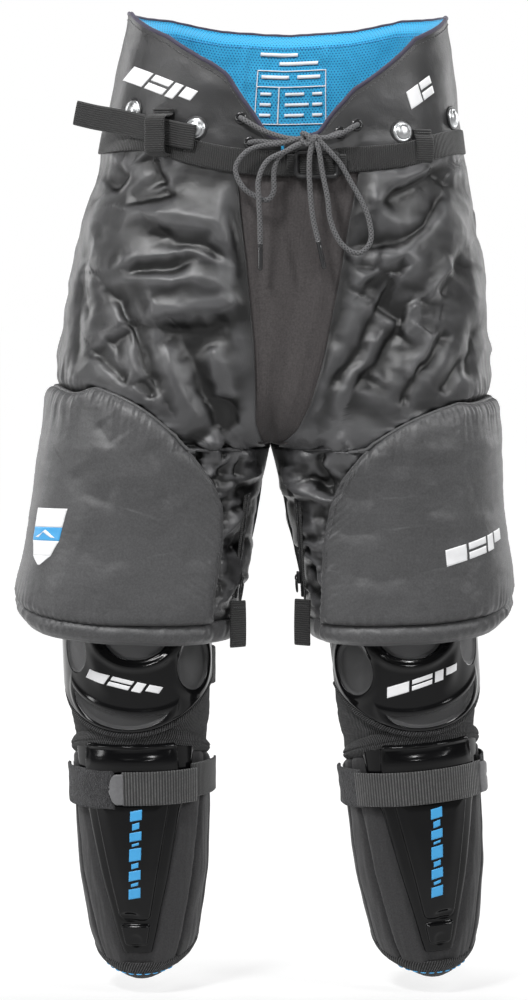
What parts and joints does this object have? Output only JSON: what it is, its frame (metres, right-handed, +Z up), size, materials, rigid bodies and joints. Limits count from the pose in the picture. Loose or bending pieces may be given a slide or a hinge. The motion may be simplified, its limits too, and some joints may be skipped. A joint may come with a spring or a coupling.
{
  "type": "ice hockey pants",
  "caption": "Youth ice hockey pants with padded thighs, laced and belted waist, and knee and shin guards hanging from the hems.",
  "frame": {"origin": "centre of the waist opening at the height of the belt", "axes": "+Z up out of the waist, +X the wearer's left, -Y the front"},
  "size_m": [0.4037, 0.2203, 0.766],
  "materials": {
    "nylon": "satin woven nylon",
    "stretch": "matte stretch weave",
    "lining": "perforated mesh",
    "foam": "matte fabric over foam",
    "webbing": "ribbed webbing",
    "knit": "ribbed knit",
    "pull_tab": "moulded rubber",
    "shell": "gloss",
    "hardware": "fine grain",
    "snap": "pressed metal",
    "eyelet": "black lacquer",
    "lace": "round braid",
    "print_white": "flat print",
    "print_blue": "flat print"
  },
  "bodies": {
    "hips": {"waist_shell": "nylon", "waist_lining": "lining", "gusset": "stretch", "kidney_pad_right": "foam", "kidney_pad_left": "foam", "spine_pad": "foam", "belt": "webbing", "belt_tail": "webbing", "belt_buckle": "hardware", "belt_loop_right": "webbing", "belt_loop_left": "webbing", "snap_outer_right": "snap", "snap_inner_right": "snap", "snap_inner_left": "snap", "snap_outer_left": "snap", "eyelet_upper_right": "eyelet", "eyelet_lower_right": "eyelet", "eyelet_upper_left": "eyelet", "eyelet_lower_left": "eyelet", "lace_crossing": "lace", "lace_knot": "lace", "lace_loop_right": "lace", "lace_loop_left": "lace", "lace_end_right": "lace", "lace_end_left": "lace", "aglet_right": "lace", "aglet_left": "lace"},
    "leg_right": {"leg_shell_right": "nylon", "thigh_plate_right": "hardware", "thigh_pad_right": "nylon", "hem_binding_right": "webbing", "zipper_right": "hardware"},
    "slider_right": {"zipper_slider_right": "hardware"},
    "tab_right": {"hem_tab_right": "webbing"},
    "leg_left": {"leg_shell_left": "nylon", "thigh_plate_left": "hardware", "thigh_pad_left": "nylon", "hem_binding_left": "webbing", "zipper_left": "hardware"},
    "slider_left": {"zipper_slider_left": "hardware"},
    "tab_left": {"hem_tab_left": "webbing"},
    "knee_right": {"knee_cap_right": "shell", "knee_pad_right": "foam", "knee_strap_right": "webbing"},
    "knee_left": {"knee_cap_left": "shell", "knee_pad_left": "foam", "knee_strap_left": "webbing"},
    "shin_right": {"shin_plate_right": "shell", "shin_foam_right": "foam", "shin_band_right": "knit", "calf_strap_right": "webbing", "strap_tab_right": "pull_tab", "toe_band_right": "knit"},
    "shin_left": {"shin_plate_left": "shell", "shin_foam_left": "foam", "shin_band_left": "knit", "calf_strap_left": "webbing", "strap_tab_left": "pull_tab", "toe_band_left": "knit"}
  },
  "joints": [
    {"name": "hip_swing_right", "type": "hinge", "parent": "hips", "child": "leg_right", "pos_m": [0, 0, -0.14], "axis": [-1, 0, 0], "range_deg": [-10, 36], "stiffness_Nm_per_rad": 4},
    {"name": "zip_slide_right", "type": "slide", "parent": "leg_right", "child": "slider_right", "axis": [0.1262, -0.0606, 0.9901], "range_m": [0, 0.06]},
    {"name": "tab_peel_right", "type": "hinge", "parent": "leg_right", "child": "tab_right", "pos_m": [-0.027, -0.06135, -0.356], "axis": [-0.809, -0.5878, 0], "range_deg": [0, 100]},
    {"name": "knee_bend_right", "type": "hinge", "parent": "leg_right", "child": "knee_right", "pos_m": [-0.106, -0.012, -0.385], "axis": [0.9901, -0.1392, 0.0173], "range_deg": [0, 25], "stiffness_Nm_per_rad": 2},
    {"name": "shin_bend_right", "type": "hinge", "parent": "knee_right", "child": "shin_right", "pos_m": [-0.106, -0.012, -0.385], "axis": [0.9901, -0.1392, 0.0173], "range_deg": [0, 30], "stiffness_Nm_per_rad": 2},
    {"name": "hip_swing_left", "type": "hinge", "parent": "hips", "child": "leg_left", "pos_m": [0, 0, -0.14], "axis": [-1, 0, 0], "range_deg": [-10, 36], "stiffness_Nm_per_rad": 4},
    {"name": "zip_slide_left", "type": "slide", "parent": "leg_left", "child": "slider_left", "axis": [-0.0706, -0.2162, 0.9738], "range_m": [0, 0.06]},
    {"name": "tab_peel_left", "type": "hinge", "parent": "leg_left", "child": "tab_left", "pos_m": [0.024, -0.04874, -0.356], "axis": [-0.809, 0.5878, 0], "range_deg": [0, 100]},
    {"name": "knee_bend_left", "type": "hinge", "parent": "leg_left", "child": "knee_left", "pos_m": [0.102, -0.012, -0.385], "axis": [0.9666, 0.2419, 0.0846], "range_deg": [0, 25], "stiffness_Nm_per_rad": 2},
    {"name": "shin_bend_left", "type": "hinge", "parent": "knee_left", "child": "shin_left", "pos_m": [0.102, -0.012, -0.385], "axis": [0.9666, 0.2419, 0.0846], "range_deg": [0, 30], "stiffness_Nm_per_rad": 2}
  ],
  "couplings": [
    {"joint": "shin_bend_right", "follows": "knee_bend_right", "ratio": 1.2},
    {"joint": "shin_bend_left", "follows": "knee_bend_left", "ratio": 1.2}
  ]
}
